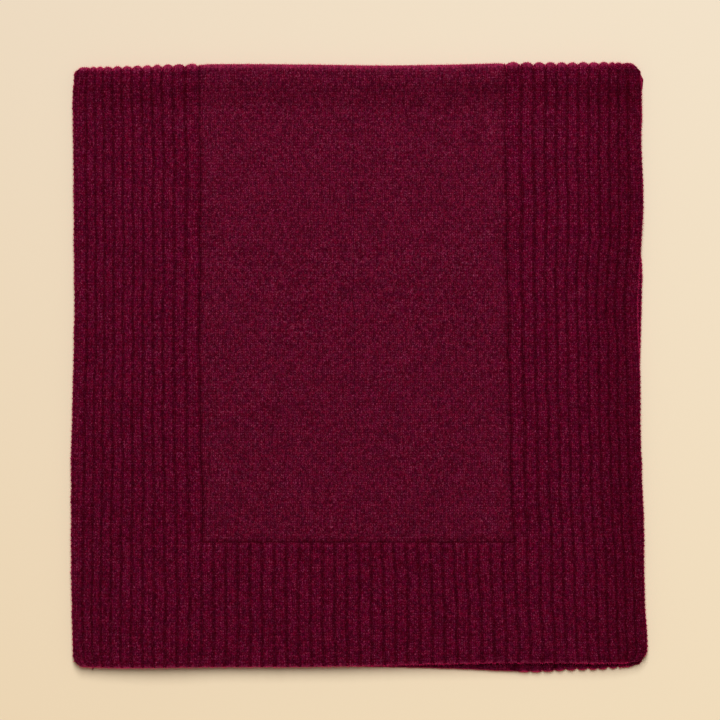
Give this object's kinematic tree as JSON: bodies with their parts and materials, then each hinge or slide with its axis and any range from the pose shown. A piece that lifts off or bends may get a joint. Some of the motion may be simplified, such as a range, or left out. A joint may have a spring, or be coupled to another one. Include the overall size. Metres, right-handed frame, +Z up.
{
  "type": "folded knit scarf",
  "caption": "Rib-trimmed knit scarf, folded in quarters and lying flat, with its ribbed end on top and a soft rounded fold at the back.",
  "frame": {"origin": "middle of the footprint, on the surface that the scarf lies on", "axes": "+Z up, +Y along the leaves from the ends to the folded edge, +X across the ribs to the right"},
  "size_m": [0.436, 0.4602, 0.0132],
  "materials": {
    "rib_knit": "soft brushed burgundy wool, ribbed",
    "panel_knit": "soft brushed burgundy wool, plain knit",
    "under_knit": "soft brushed burgundy wool, the leaves below"
  },
  "bodies": {
    "root": {"left_rib_border": "rib_knit", "right_rib_border": "rib_knit", "end_rib": "rib_knit", "centre_panel": "panel_knit", "under_leaf": "under_knit", "folded_leaves": "under_knit"}
  },
  "joints": []
}
